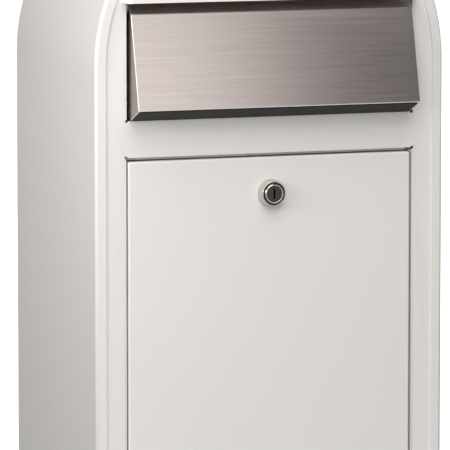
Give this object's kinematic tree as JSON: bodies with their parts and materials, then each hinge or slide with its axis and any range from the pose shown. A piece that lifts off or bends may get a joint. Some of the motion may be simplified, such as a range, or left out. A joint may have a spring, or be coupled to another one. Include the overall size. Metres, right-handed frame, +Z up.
{
  "type": "parcel drop box",
  "caption": "Free-standing or wall-hung arched sheet-steel parcel drop box with a stainless drop flap under a hood and a bottom-hinged door with a cam lock.",
  "frame": {"origin": "centre of the base plate's underside, which is the centre of the stand bolt pattern", "axes": "+X to the right seen from the front, +Y from the front towards the back wall, +Z up"},
  "size_m": [0.38, 0.2665, 0.7],
  "materials": {
    "white_coat": "satin powder coat with a very fine orange peel",
    "stainless": "brushed stainless, grain along the width",
    "zinc_sheet": "zinc-plated sheet steel",
    "fastener": "bright zinc plate",
    "lock_chrome": "nickel-chrome plate",
    "plug_metal": "dull nickel",
    "rubber": "matt black rubber",
    "nylon": "natural nylon"
  },
  "bodies": {
    "cabinet": {"casing_shell": "white_coat", "front_panel": "white_coat", "flap_hood": "white_coat", "rear_panel": "white_coat", "base_plate": "white_coat", "wall_rails": "zinc_sheet", "flap_bracket_left": "zinc_sheet", "flap_bracket_right": "zinc_sheet", "hinge_rod": "stainless", "rod_clips": "fastener", "flap_buffers": "rubber", "letter_guard": "zinc_sheet", "weld_studs": "fastener", "stud_nuts": "fastener", "lock_keeper": "zinc_sheet", "keeper_screws": "fastener", "keeper_nuts": "fastener", "door_hinge_pins": "fastener", "door_stop_pins": "fastener", "door_washers": "nylon", "door_buffers": "rubber"},
    "flap": {"flap_plate": "stainless", "flap_bushes": "nylon", "flap_stiffener": "zinc_sheet", "flap_strip": "rubber"},
    "door": {"door_panel": "white_coat", "door_stiffener_left": "zinc_sheet", "door_stiffener_right": "zinc_sheet", "lock_collar": "lock_chrome", "lock_gasket": "rubber", "lock_housing": "lock_chrome", "lock_washer": "fastener", "lock_nut": "fastener"},
    "plug": {"lock_plug": "plug_metal", "plug_spacer": "fastener", "lock_cam": "zinc_sheet", "cam_screw": "fastener"}
  },
  "joints": [
    {"name": "flap_hinge", "type": "hinge", "parent": "cabinet", "child": "flap", "pos_m": [0, -0.1105, 0.568], "axis": [-1, 0, 0], "range_deg": [0, 48]},
    {"name": "door_hinge", "type": "hinge", "parent": "cabinet", "child": "door", "pos_m": [0, -0.114, 0.053], "axis": [1, 0, 0], "range_deg": [0, 95]},
    {"name": "lock_turn", "type": "hinge", "parent": "door", "child": "plug", "pos_m": [0, -0.1185, 0.3755], "axis": [0, -1, 0], "range_deg": [0, 90]}
  ]
}
